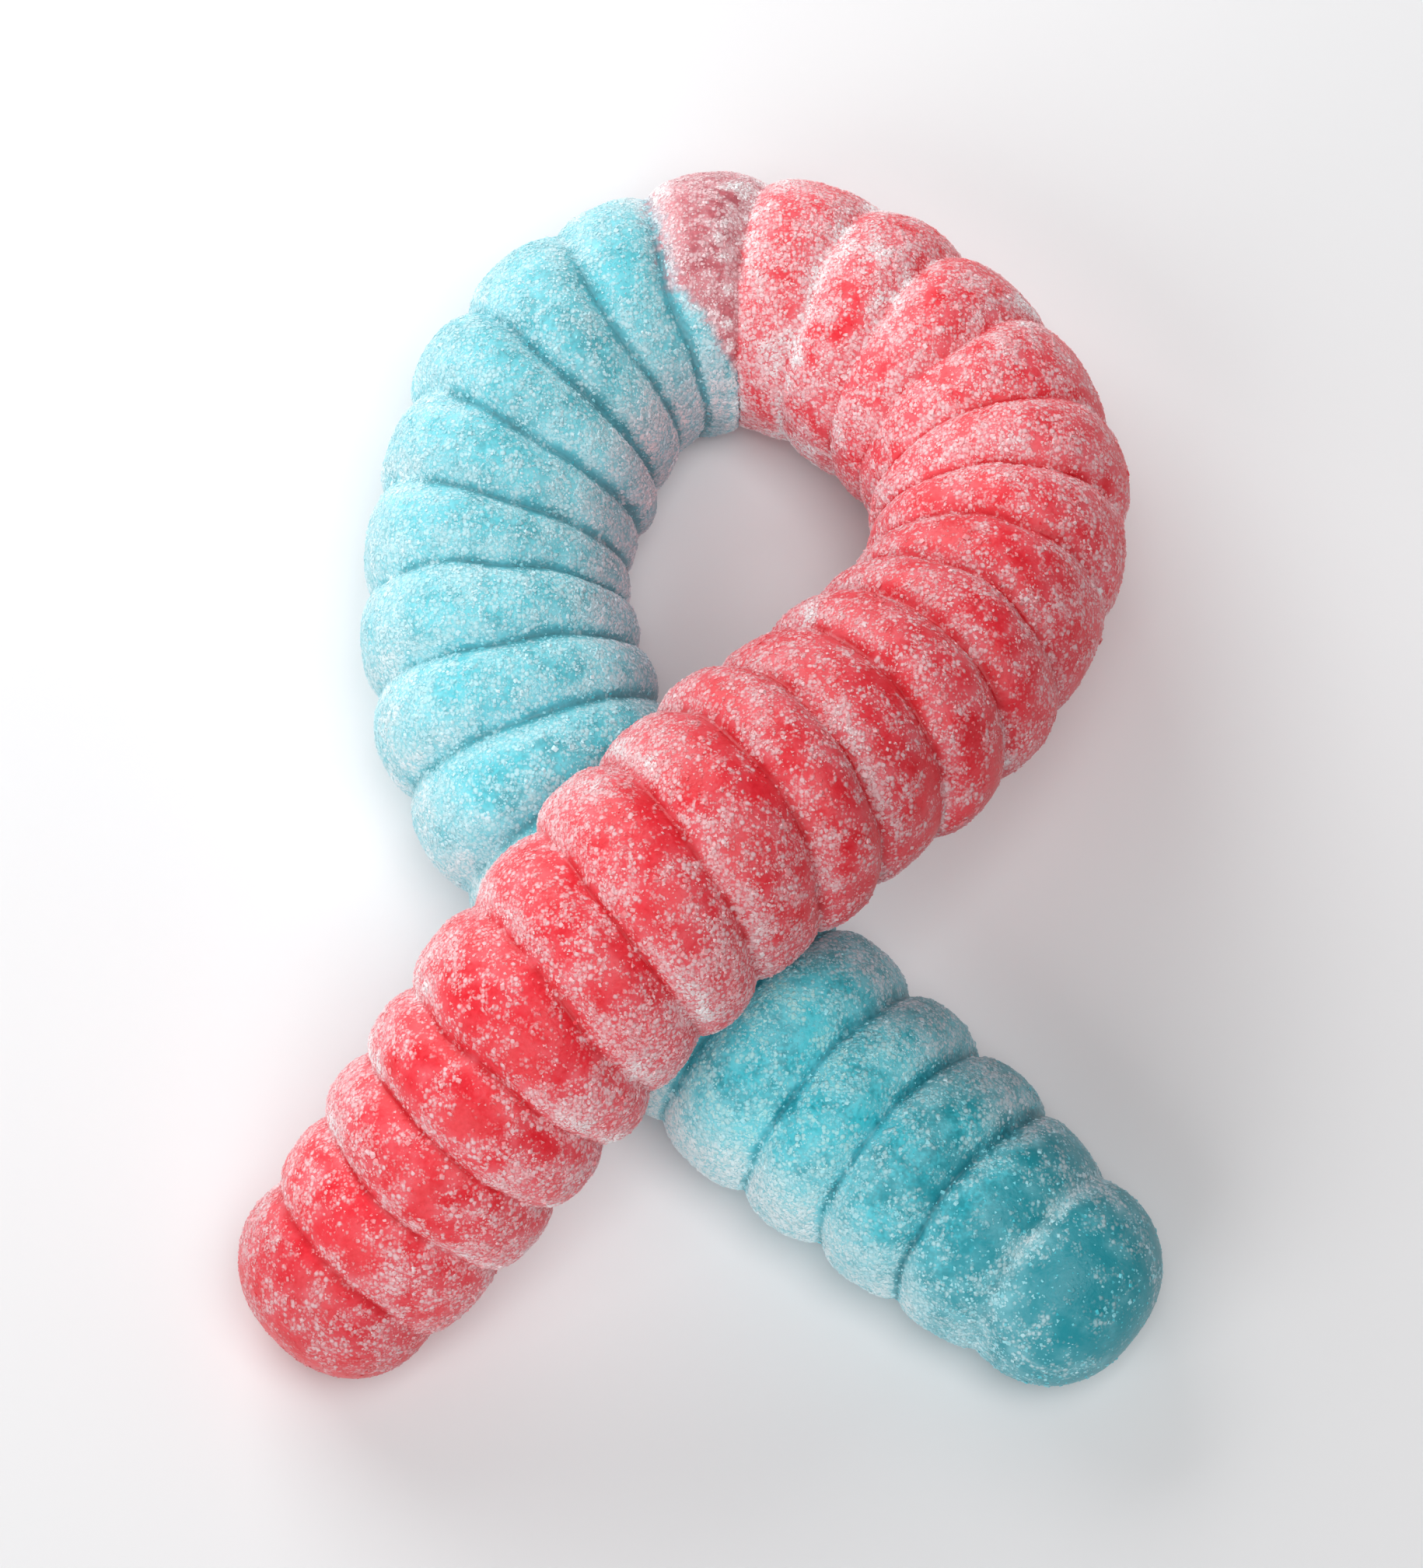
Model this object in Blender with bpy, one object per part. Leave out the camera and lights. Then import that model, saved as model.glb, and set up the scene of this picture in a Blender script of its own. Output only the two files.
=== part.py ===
"""Jumbo gummy worm, sugared and laid in a ribbon loop: one moulded piece in two fused colours.

Sizes are in millimetres and become metres where the mesh is made. +Z is up and z = 0 is the table.
+Y runs from the two open tails to the top of the loop. The worm starts at its blue tip, passes
under its own red half, runs round the loop and ends at the red tip.
"""

import bpy
import numpy as np

NAME = "gummy_worm"
MM = 0.001

# Middle line of the worm: flat on the table from the blue tip to the top of the loop, then up over
# the blue half and down to the red tip
SPINE = (
    (26.8, -37.2, 4.1),
    (21.2, -32.8, 4.7),
    (12.2, -25.4, 5.2),
    (3.4, -17.8, 5.5),
    (-4.7, -9.0, 5.5),
    (-10.6, 0.4, 5.8),
    (-13.1, 10.7, 6.0),
    (-11.2, 20.8, 5.9),
    (-5.5, 29.0, 5.5),
    (3.3, 31.8, 5.5),
    (12.1, 27.4, 6.8),
    (18.5, 18.8, 9.1),
    (18.0, 8.6, 12.4),
    (12.9, 0.6, 15.6),
    (5.9, -5.8, 18.5),
    (-1.8, -12.7, 19.7),
    (-8.2, -19.3, 17.7),
    (-14.8, -26.4, 11.8),
    (-21.7, -32.8, 5.1),
    (-26.3, -37.2, 3.5),
)

# Cross-section: a rounded D whose flatter side is the open back of the mould
HALF_WIDTH = 8.75
TOP_HEIGHT = 7.9
BACK_HEIGHT = 5.4
TOP_SQUARENESS = 2.1
BACK_SQUARENESS = 2.7

# Share of the full section at distances along the worm
GIRTH_MARKS = (
    (0, 0.81), (8, 0.86), (14, 0.94), (24, 1.0), (66, 1.01), (90, 0.98), (104, 0.98), (118, 0.95),
    (136, 1.0), (147, 1.06), (156, 1.02), (164, 0.99), (172, 0.94), (181, 0.89), (194, 0.81),
)

# Degrees that the back is rolled towards the outside of the loop, at distances along the worm
ROLL_MARKS = (
    (0, 4), (45, 10), (62, 18), (76, 10), (94, 8), (112, 25), (126, 38), (142, 25), (158, 15), (194, 14),
)

# How far the rings lean along the worm, at distances along it: first on the side in the loop, then on top
LEAN_MARKS = (
    (0, 0, 0), (7, 0, 1.2), (19, -0.4, 1.1), (26, 0, 0.3), (45, 0, 0), (63, -1.0, 0.3), (73.5, -2.9, 0),
    (79, -4.0, 0), (84, -3.7, 0), (88.4, -2.4, 0), (93.5, -1.0, 0), (99.2, 2.0, -0.9), (103.8, 2.2, -1.0),
    (109.6, 1.2, -0.6), (116, 0.2, -0.3), (125, -0.2, -0.6), (131, -1.6, -0.5), (136, -1.0, -0.9),
    (145, -1.0, -0.4), (150, -1.5, -1.0), (160, -2.2, -0.2), (165, -1.7, -1.1), (170, 0.3, -1.2),
    (175, 0.5, -1.2), (180, 0.6, -1.5), (187, -0.3, -0.6), (194, 0, 0),
)

# Rings: grooves are counted from the blue tip, and some of them have a marked place along the worm
GROOVES = 35
GROOVE_MARKS = (
    (0, 7.2), (2, 18.5), (3, 24.1), (4, 30.3), (8, 53.2), (11, 68.8), (14, 84.3), (15, 88.5), (16, 93.5),
    (18, 103.9), (20, 115.0), (22, 125.2), (23, 131.0), (24, 135.7), (28, 155.6), (30, 165.5), (31, 169.9),
    (32, 174.8), (33, 180.3), (34, 186.6),
)
ROWS_IN_RING = (0.0, 0.08, 0.25, 0.5, 0.75, 0.92)
GROOVE_DEPTH = 1.5
BACK_GROOVE_SHARE = 0.12
LOBE_FLATNESS = 2.6
LOBE_ROUNDING = 0.75
LEAST_STRETCH = 0.45
RING_UNEVENNESS = 0.022
SEED = 5

# Rounded ends
CAP_LENGTH = 7.1
CAP_ROWS = 6
CAP_SQUARENESS = 2.3

AROUND = 26

# The ring where the colours ran together, which narrows to nothing on the inside of the loop
MAUVE_START = 88.5
MAUVE_END = 93.5
MAUVE_CURVE = 3
ROUGHNESS = 0.55
COLOURS = (
    ("jelly_blue", (0.13, 0.55, 0.66)),
    ("jelly_mauve", (0.42, 0.14, 0.20)),
    ("jelly_red", (0.78, 0.05, 0.07)),
)


def smooth_path(points, steps):
    """Natural cubic spline through the points, read at equal steps of its parameter."""
    knots = np.r_[0.0, np.cumsum(np.linalg.norm(np.diff(points, axis=0), axis=1))]
    gaps = np.diff(knots)
    slopes = np.diff(points, axis=0) / gaps[:, None]
    bends = np.eye(len(points))
    pull = np.zeros_like(points)
    for i in range(1, len(points) - 1):
        bends[i, i - 1 : i + 2] = gaps[i - 1], 2 * (gaps[i - 1] + gaps[i]), gaps[i]
        pull[i] = 6 * (slopes[i] - slopes[i - 1])
    second = np.linalg.solve(bends, pull)
    reached = np.linspace(0.0, knots[-1], steps)
    k = np.clip(np.searchsorted(knots, reached) - 1, 0, len(gaps) - 1)
    gap = gaps[k][:, None]
    before = (knots[k + 1] - reached)[:, None] / gap
    after = 1.0 - before
    sag = ((before**3 - before) * second[k] + (after**3 - after) * second[k + 1]) * gap**2 / 6
    return before * points[k] + after * points[k + 1] + sag


def spine_frames(places, length):
    """Centre, side, up and bend vectors of the worm at distances along its middle line."""
    path = smooth_path(np.array(SPINE), 2000)
    along = np.r_[0.0, np.cumsum(np.linalg.norm(np.diff(path, axis=0), axis=1))]
    along *= length / along[-1]
    heading = np.gradient(path, along, axis=0)
    bend = np.gradient(heading, along, axis=0)
    centre, heading, bend = (
        np.stack([np.interp(places, along, line[:, axis]) for axis in range(3)], axis=-1)
        for line in (path, heading, bend)
    )
    side = np.cross(heading, (0.0, 0.0, 1.0))
    side /= np.linalg.norm(side, axis=-1, keepdims=True)
    up = np.cross(side, heading)
    up /= np.linalg.norm(up, axis=-1, keepdims=True)
    return centre, side, up, bend


def groove_places():
    """Distances of the ring grooves along the worm."""
    return np.interp(np.arange(GROOVES), *zip(*GROOVE_MARKS))


def rows():
    """Every row of the surface: its distance along the worm, its phase in its ring, with grooves at
    0 and 1, and its share of the section, which closes over the tips."""
    grooves = groove_places()
    in_ring = np.array(ROWS_IN_RING)
    rings = (grooves[:-1, None] + np.diff(grooves)[:, None] * in_ring).ravel()
    turn = np.linspace(0.0, np.pi / 2, CAP_ROWS, endpoint=False)
    reach = 1.0 - np.cos(turn)
    share = (1.0 - np.cos(turn) ** CAP_SQUARENESS) ** (1.0 / CAP_SQUARENESS)
    length = grooves[-1] + CAP_LENGTH
    places = np.r_[reach * grooves[0], rings, grooves[-1], length - reach[::-1] * CAP_LENGTH]
    phases = np.r_[0.5 + 0.5 * reach, np.tile(in_ring, GROOVES - 1), 0.0, 0.5 - 0.5 * reach[::-1]]
    shares = np.r_[share, np.ones(len(rings) + 1), share[::-1]]
    return places, phases, shares


def section_radius(angle):
    """Radius of the rounded D at angles from its top."""
    height = np.where(np.cos(angle) > 0, TOP_HEIGHT, BACK_HEIGHT)
    power = np.where(np.cos(angle) > 0, TOP_SQUARENESS, BACK_SQUARENESS)
    across = np.abs(np.sin(angle)) / HALF_WIDTH
    over = np.abs(np.cos(angle)) / height
    return (across**power + over**power) ** (-1.0 / power)


def lean(places, turned):
    """How far each point of a row sits from the row's own distance along the worm."""
    marks, side, top = zip(*LEAN_MARKS)
    inner = 0.5 + 0.5 * np.sin(turned)
    upper = np.maximum(np.cos(turned), 0.0)
    return np.interp(places, marks, side)[:, None] * inner + np.interp(places, marks, top)[:, None] * upper


def worm_surface():
    """Grid of points, rows along the worm by columns around it, with each row's distance along the
    worm and each point's share towards the inside of the loop, from -1 to 1."""
    places, phases, shares = rows()
    angle = 2 * np.pi * np.arange(AROUND) / AROUND
    turned = angle + np.radians(np.interp(places, *zip(*ROLL_MARKS)))[:, None]
    centre, side, up, bend = spine_frames(places[:, None] + lean(places, turned), places[-1])
    outward = np.cos(turned)[..., None] * up + np.sin(turned)[..., None] * side

    # Each ring bulges between its grooves, less on the moulded back and where a bend squeezes it
    ring = np.searchsorted(groove_places(), places, side="right")
    uneven = np.random.default_rng(SEED).normal(0.0, RING_UNEVENNESS, GROOVES + 1)
    lobe = (1.0 - np.abs(2.0 * phases - 1.0) ** LOBE_FLATNESS) ** LOBE_ROUNDING
    girth = np.interp(places, *zip(*GIRTH_MARKS)) * (1.0 + uneven[ring] * lobe)
    front = BACK_GROOVE_SHARE + (1.0 - BACK_GROOVE_SHARE) * np.sqrt(0.5 + 0.5 * np.cos(angle))
    stretch = 1.0 - HALF_WIDTH * np.einsum("rck,rck->rc", bend, outward)
    relief = GROOVE_DEPTH * (1.0 - lobe)[:, None] * front * np.clip(stretch, LEAST_STRETCH, 1.0)

    radius = (girth[:, None] * section_radius(angle) - relief) * shares[:, None]
    points = centre + radius[..., None] * outward
    # The soft worm lies flat where it rests on the table
    points[..., 2] = np.maximum(points[..., 2], 0.0)
    return points, places, np.sin(turned)


def colour_slots(places, inward):
    """Colour of the wall between each row and the next: blue, then mauve, then red."""
    middle = 0.5 * (places[:-1] + places[1:])[:, None]
    inner = 0.5 + 0.5 * inward[:-1]
    start = MAUVE_START + (MAUVE_END - MAUVE_START) * inner**MAUVE_CURVE
    return np.where(middle > MAUVE_END, 2, np.where(middle > start, 1, 0))


def make_material(name, colour):
    material = bpy.data.materials.new(name)
    material.use_nodes = True
    shader = material.node_tree.nodes["Principled BSDF"]
    shader.inputs["Base Color"].default_value = (*colour, 1.0)
    shader.inputs["Roughness"].default_value = ROUGHNESS
    shader.inputs["Metallic"].default_value = 0.0
    return material


def make_worm(collection):
    """The worm as one closed body: walls between neighbouring rows, and a fan on each tip."""
    points, places, inward = worm_surface()
    body = points[1:-1]
    index = np.arange(body.shape[0] * AROUND).reshape(body.shape[:2])
    beside = np.roll(index, -1, axis=1)
    walls = np.stack([index[:-1], beside[:-1], beside[1:], index[:-1], beside[1:], index[1:]], axis=-1)
    blue_tip, red_tip = index.size, index.size + 1
    blue_fan = [(blue_tip, b, a) for a, b in zip(index[0].tolist(), beside[0].tolist())]
    red_fan = [(red_tip, a, b) for a, b in zip(index[-1].tolist(), beside[-1].tolist())]
    slots = np.repeat(colour_slots(places[1:-1], inward[1:-1]).ravel(), 2).tolist()

    vertices = np.vstack([body.reshape(-1, 3), points[0, 0], points[-1, 0]]) * MM
    mesh = bpy.data.meshes.new(NAME)
    mesh.from_pydata(vertices.tolist(), [], walls.reshape(-1, 3).tolist() + blue_fan + red_fan)
    for name, colour in COLOURS:
        mesh.materials.append(make_material(name, colour))
    mesh.polygons.foreach_set("material_index", slots + [0] * AROUND + [2] * AROUND)
    mesh.shade_smooth()
    collection.objects.link(bpy.data.objects.new(NAME, mesh))


def build():
    for existing in list(bpy.data.objects):
        bpy.data.objects.remove(existing, do_unlink=True)
    collection = bpy.data.collections.new(NAME)
    bpy.context.scene.collection.children.link(collection)
    make_worm(collection)


build()
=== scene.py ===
"""A giant sugared gummy worm, cast half in blue and half in red jelly, lying in a ribbon loop.

The worm's own sizes are in millimetres and become metres where a mesh is made. Places along the worm
are counted from its blue tip, and angles around it from the top of its domed side. The sine of such an
angle, called inward, is 1 on the side of the worm that lies inside the loop and -1 on its other side.
"""

import bpy
import numpy as np
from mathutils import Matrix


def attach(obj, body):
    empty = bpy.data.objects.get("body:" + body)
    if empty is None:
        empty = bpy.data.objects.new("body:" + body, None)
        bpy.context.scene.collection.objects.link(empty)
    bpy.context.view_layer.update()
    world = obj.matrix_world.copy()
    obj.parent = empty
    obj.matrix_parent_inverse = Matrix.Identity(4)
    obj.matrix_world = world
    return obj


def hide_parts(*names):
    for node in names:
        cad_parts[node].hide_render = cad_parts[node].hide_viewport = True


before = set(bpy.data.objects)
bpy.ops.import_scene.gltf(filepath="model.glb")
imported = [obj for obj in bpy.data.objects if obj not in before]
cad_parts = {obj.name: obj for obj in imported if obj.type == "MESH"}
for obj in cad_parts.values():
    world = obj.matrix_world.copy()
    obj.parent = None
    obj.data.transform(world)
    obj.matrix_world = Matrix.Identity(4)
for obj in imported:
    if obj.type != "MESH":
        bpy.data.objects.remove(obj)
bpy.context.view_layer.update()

# The jelly: gelatine cast in an open mould with ring grooves, domed on one side and flatter on its
# open back. The two colours were poured one after the other and fused in one ring at the top of the loop.
MM = 0.001
WORM_LINE = np.array((
    (26.8, -37.2, 4.1), (21.2, -32.8, 4.7), (12.2, -25.4, 5.2), (3.4, -17.8, 5.5), (-4.7, -9.0, 5.5),
    (-10.6, 0.4, 5.8), (-13.1, 10.7, 6.0), (-11.2, 20.8, 5.9), (-5.5, 29.0, 5.5), (3.3, 31.8, 5.5),
    (12.1, 27.4, 6.8), (18.5, 18.8, 9.1), (18.0, 8.6, 12.4), (12.9, 0.6, 15.6), (5.9, -5.8, 18.5),
    (-1.8, -12.7, 19.7), (-8.2, -19.3, 17.7), (-14.8, -26.4, 11.8), (-21.7, -32.8, 5.1),
    (-26.3, -37.2, 3.5),
))
LINE_STEPS = 4000
HALF_WIDTH, TOP_HEIGHT, BACK_HEIGHT = 8.75, 7.9, 5.4
TOP_SQUARENESS, BACK_SQUARENESS = 2.1, 2.7
GIRTH_MARKS = (
    (0, 0.81), (8, 0.86), (14, 0.94), (24, 1.0), (66, 1.01), (90, 0.98), (104, 0.98), (118, 0.95),
    (136, 1.0), (147, 1.06), (156, 1.02), (164, 0.99), (172, 0.94), (181, 0.89), (194, 0.81),
)
ROLL_MARKS = (
    (0, 4), (45, 10), (62, 18), (76, 10), (94, 8), (112, 25), (126, 38), (142, 25), (158, 15), (194, 14),
)
# How far the rings lean along the worm, at places along it: on the side in the loop, and on top
LEAN_MARKS = (
    (0, 0, 0), (7, 0, 1.2), (19, -0.4, 1.1), (26, 0, 0.3), (45, 0, 0), (63, -1.0, 0.3), (73.5, -2.9, 0),
    (79, -4.0, 0), (84, -3.7, 0), (88.4, -2.4, 0), (93.5, -1.0, 0), (99.2, 2.0, -0.9), (103.8, 2.2, -1.0),
    (109.6, 1.2, -0.6), (116, 0.2, -0.3), (125, -0.2, -0.6), (131, -1.6, -0.5), (136, -1.0, -0.9),
    (145, -1.0, -0.4), (150, -1.5, -1.0), (160, -2.2, -0.2), (165, -1.7, -1.1), (170, 0.3, -1.2),
    (175, 0.5, -1.2), (180, 0.6, -1.5), (187, -0.3, -0.6), (194, 0, 0),
)
GROOVES = 35
GROOVE_MARKS = (
    (0, 7.2), (2, 18.5), (3, 24.1), (4, 30.3), (8, 53.2), (11, 68.8), (14, 84.3), (15, 88.5), (16, 93.5),
    (18, 103.9), (20, 115.0), (22, 125.2), (23, 131.0), (24, 135.7), (28, 155.6), (30, 165.5), (31, 169.9),
    (32, 174.8), (33, 180.3), (34, 186.6),
)
GROOVE_DEPTH, BACK_GROOVE_SHARE, EDGE_POWER = 1.5, 0.12, 0.36
LOBE_FLATNESS, LOBE_ROUNDING, LEAST_STRETCH = 2.6, 0.75, 0.45
GROOVE_ROUNDNESS = 0.055
RING_UNEVENNESS, RING_SEED = 0.022, 5
CAP_LENGTH, CAP_SQUARENESS = 7.1, 2.3
ROWS_IN_RING = np.array((
    0.0, 0.025, 0.06, 0.11, 0.18, 0.26, 0.34, 0.42, 0.5, 0.58, 0.66, 0.74, 0.82, 0.89, 0.94, 0.975,
))
CAP_ROWS, COLUMNS = 15, 164

# Soft random changes of the skin in layers, each with its strength, its size in mm and its seed
DEPTH_LAYERS = ((0.25, 6.0, 1),)
LUMP_LAYERS = ((0.10, 3.4, 2), (0.06, 1.5, 3), (0.03, 0.8, 4))
WAVE_LAYERS = ((0.30, 4.5, 5),)
LATTICE, SECOND_DRAW = 32, 100

# Grooves packed with sugar across their whole width, by their number from the blue tip, and how full
# they are. The others hold sugar over a range of inward: the blue ones on their outer side, less and
# further out on the tail, and the red ones at the bend's outer edge and on both flanks of the tail.
PACKED_GROOVES = {0: 0.65, 16: 0.75, 17: 1.35, 18: 0.75, 19: 0.4}
BLUE_FILL, BLUE_FILL_RANGE, LESS_ON_BLUE_TAIL = 0.65, (0.3, 0.85), 0.3
BEND_FILL, BEND_EDGE_FILL, BEND_FILL_RANGE = 0.10, 0.6, (0.6, 0.95)
FLANK_FILL, FLANK_FILL_START, FLANK_FILL_RANGE = 0.6, (124.0, 134.0), (0.4, 0.95)
BLUE_TAIL_END, BLUE_END, RED_BEND_END = (34.0, 44.0), 90.0, 150.0
SHALLOWER_WHEN_FULL = 0.15


def smooth_line(points, steps):
    """Natural cubic spline through the points: on each stretch the second derivative runs straight
    from one point's value to the next, with values that make the slopes agree at the points."""
    knots = np.r_[0.0, np.cumsum(np.linalg.norm(np.diff(points, axis=0), axis=1))]
    gaps = np.diff(knots)
    slopes = np.diff(points, axis=0) / gaps[:, None]
    bends = np.eye(len(points))
    pull = np.zeros_like(points)
    for i in range(1, len(points) - 1):
        bends[i, i - 1 : i + 2] = gaps[i - 1], 2 * (gaps[i - 1] + gaps[i]), gaps[i]
        pull[i] = 6 * (slopes[i] - slopes[i - 1])
    second = np.linalg.solve(bends, pull)
    reached = np.linspace(0.0, knots[-1], steps)
    k = np.clip(np.searchsorted(knots, reached) - 1, 0, len(gaps) - 1)
    gap = gaps[k][:, None]
    before = (knots[k + 1] - reached)[:, None] / gap
    after = 1.0 - before
    sag = ((before**3 - before) * second[k] + (after**3 - after) * second[k + 1]) * gap**2 / 6
    return before * points[k] + after * points[k + 1] + sag


def line_frames(places, length):
    """Centre, heading, side, up and bend vectors at places along the worm of that length. Side is level,
    across the heading, up is across both, and bend is how fast the heading changes along the worm."""
    path = smooth_line(WORM_LINE, LINE_STEPS)
    along = np.r_[0.0, np.cumsum(np.linalg.norm(np.diff(path, axis=0), axis=1))]
    along *= length / along[-1]
    heading = np.gradient(path, along, axis=0)
    bend = np.gradient(heading, along, axis=0)
    centre, heading, bend = (
        np.stack([np.interp(places, along, line[:, axis]) for axis in range(3)], axis=-1)
        for line in (path, heading, bend)
    )
    side = np.cross(heading, (0.0, 0.0, 1.0))
    side /= np.linalg.norm(side, axis=-1, keepdims=True)
    up = np.cross(side, heading)
    up /= np.linalg.norm(up, axis=-1, keepdims=True)
    return centre, heading, side, up, bend


def marked(places, marks):
    """Values at the places, on straight lines between marks that each give a place and its value."""
    return np.interp(places, *zip(*marks))


def smooth_step(value, low, high):
    """0 below low and 1 above high, with 3t^2 - 2t^3 between."""
    t = np.clip((value - low) / (high - low), 0.0, 1.0)
    return t * t * (3.0 - 2.0 * t)


def cloud(points, size, seed):
    """Soft random field from -1 to 1 at points in mm: random values on a cubic lattice turned askew,
    with cells of the given size, blended with the smooth step 3t^2 - 2t^3 along each edge."""
    askew = np.linalg.qr(np.random.default_rng(seed).normal(size=(3, 3)))[0]
    cell = points @ askew / size
    corner = np.floor(cell).astype(int)
    t = cell - corner
    t = t * t * (3.0 - 2.0 * t)
    values = np.random.default_rng(seed + SECOND_DRAW).uniform(-1.0, 1.0, (LATTICE, LATTICE, LATTICE))
    total = np.zeros(points.shape[:-1])
    for step in np.ndindex(2, 2, 2):
        share = np.prod(np.where(step, t, 1.0 - t), axis=-1)
        i, j, k = np.moveaxis((corner + step) % LATTICE, -1, 0)
        total += share * values[i, j, k]
    return total


def clouds(points, layers):
    """Sum of clouds, each given by its strength, size and seed."""
    return sum(strength * cloud(points, size, seed) for strength, size, seed in layers)


GROOVE_PLACES = marked(np.arange(GROOVES), GROOVE_MARKS)


def jelly_rows():
    """Rows of the skin: place along the worm, phase in the ring from 0 to 1 between its two grooves,
    and share of the section, which closes over each tip as a superellipse."""
    rings = (GROOVE_PLACES[:-1, None] + np.diff(GROOVE_PLACES)[:, None] * ROWS_IN_RING).ravel()
    turn = np.linspace(0.0, np.pi / 2, CAP_ROWS, endpoint=False)
    reach = 1.0 - np.cos(turn)
    share = (1.0 - np.cos(turn) ** CAP_SQUARENESS) ** (1.0 / CAP_SQUARENESS)
    last = GROOVE_PLACES[-1]
    places = np.r_[reach * GROOVE_PLACES[0], rings, last, last + CAP_LENGTH - reach[::-1] * CAP_LENGTH]
    phases = np.r_[0.5 + 0.5 * reach, np.tile(ROWS_IN_RING, GROOVES - 1), 0.0, 0.5 - 0.5 * reach[::-1]]
    shares = np.r_[share, np.ones(len(rings) + 1), share[::-1]]
    return places, phases, shares


def section_radius(angle):
    """Radius of a D with rounded corners: |across / half width|^p + |over / height|^p = 1, with a
    lower height and a higher power on the back."""
    front = np.cos(angle) > 0
    height = np.where(front, TOP_HEIGHT, BACK_HEIGHT)
    power = np.where(front, TOP_SQUARENESS, BACK_SQUARENESS)
    across = np.abs(np.sin(angle)) / HALF_WIDTH
    over = np.abs(np.cos(angle)) / height
    return (across**power + over**power) ** (-1.0 / power)


def lean(places, turned):
    """How far each point of a row sits along the worm from the row's own place: the side's lean grows as
    (1 + sin) / 2 towards the loop, and the top's as the cosine."""
    marks, side, top = zip(*LEAN_MARKS)
    inner = 0.5 + 0.5 * np.sin(turned)
    upper = np.maximum(np.cos(turned), 0.0)
    return np.interp(places, marks, side)[:, None] * inner + np.interp(places, marks, top)[:, None] * upper


def on_blue_tail(places):
    """1 on the blue tail and 0 beyond it, with a smooth step where the red half hides it."""
    return 1.0 - smooth_step(places, *BLUE_TAIL_END)


def groove_fill(places, inward):
    """How full of sugar the groove nearest to each place is: the most of its packing and of the share
    that its half has at that side, a smooth step over a range of inward."""
    packed = np.zeros(GROOVES)
    packed[list(PACKED_GROOVES)] = list(PACKED_GROOVES.values())
    own = np.searchsorted(0.5 * (GROOVE_PLACES[1:] + GROOVE_PLACES[:-1]), places)
    less = LESS_ON_BLUE_TAIL * on_blue_tail(places)
    blue = (BLUE_FILL - less) * smooth_step(-inward - less, *BLUE_FILL_RANGE)
    bend = (BEND_FILL + BEND_EDGE_FILL * smooth_step(-inward, *BEND_FILL_RANGE)) * (places < RED_BEND_END)
    red_tail = smooth_step(places, *FLANK_FILL_START)
    flanks = FLANK_FILL * red_tail * smooth_step(np.abs(inward), *FLANK_FILL_RANGE)
    return np.maximum(packed[own], np.where(places < BLUE_END, blue, np.maximum(bend, flanks)))


def jelly_skin():
    """Grid of skin points, rows along the worm by columns around it. Each ring swells between its
    grooves as (1 - |2 phase - 1|^flatness)^rounding, and soft random fields make lumps and wavy grooves.
    Sugar makes the grooves that it fills shallower. With it come, for each point, the place, the angle,
    how far the nearest groove is in mm, and the phase."""
    places, phases, shares = jelly_rows()
    angle = 2 * np.pi * np.arange(COLUMNS) / COLUMNS
    turned = angle + np.radians(marked(places, ROLL_MARKS))[:, None]
    centre, heading, side, up, bend = line_frames(places[:, None] + lean(places, turned), places[-1])
    outward = np.cos(turned)[..., None] * up + np.sin(turned)[..., None] * side

    ring = np.searchsorted(GROOVE_PLACES, places, side="right")
    uneven = np.random.default_rng(RING_SEED).normal(0.0, RING_UNEVENNESS, GROOVES + 1)
    from_groove = np.hypot(1.0 - np.abs(2.0 * phases - 1.0), GROOVE_ROUNDNESS)
    lobe = (1.0 - np.abs(1.0 - from_groove) ** LOBE_FLATNESS) ** LOBE_ROUNDING
    girth = marked(places, GIRTH_MARKS) * (1.0 + uneven[ring] * lobe)
    front = BACK_GROOVE_SHARE + (1.0 - BACK_GROOVE_SHARE) * (0.5 + 0.5 * np.cos(angle)) ** EDGE_POWER
    stretch = 1.0 - HALF_WIDTH * np.einsum("rck,rck->rc", bend, outward)
    plain = centre + (girth[:, None] * section_radius(angle) * shares[:, None])[..., None] * outward
    depth = GROOVE_DEPTH * (1.0 + clouds(plain, DEPTH_LAYERS))
    depth *= 1.0 - SHALLOWER_WHEN_FULL * groove_fill(places[:, None], np.sin(turned))
    relief = depth * (1.0 - lobe)[:, None] * front * np.clip(stretch, LEAST_STRETCH, 1.0)

    radius = (girth[:, None] * section_radius(angle) - relief + clouds(plain, LUMP_LAYERS)) * shares[:, None]
    wave = (clouds(plain, WAVE_LAYERS) * shares[:, None])[..., None] * heading
    skin = centre + radius[..., None] * outward + wave
    skin[..., 2] = np.maximum(skin[..., 2], 0.0)
    nearest = np.abs(places[:, None] - GROOVE_PLACES).min(axis=1)
    kept = (np.reshape(v, (len(v), -1)) for v in (places, turned, nearest, phases))
    return skin, *(np.broadcast_to(v, skin.shape[:2]) for v in kept)


def closed_tube(grid):
    """Vertices and faces of a grid that closes around and ends in two points: the first and last rows
    shrink to one vertex each, with a fan of triangles, and quads join the rows between."""
    body = grid[1:-1]
    index = np.arange(body.shape[0] * body.shape[1]).reshape(body.shape[:2])
    beside = np.roll(index, -1, axis=1)
    quads = np.stack([index[:-1], beside[:-1], beside[1:], index[1:]], axis=-1).reshape(-1, 4)
    start, end = index.size, index.size + 1
    first = np.stack([np.full(COLUMNS, start), beside[0], index[0]], axis=-1)
    last = np.stack([np.full(COLUMNS, end), index[-1], beside[-1]], axis=-1)
    vertices = np.vstack([body.reshape(-1, grid.shape[-1]), grid[0, :1], grid[-1, :1]])
    return vertices, quads, np.vstack([first, last])


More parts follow.
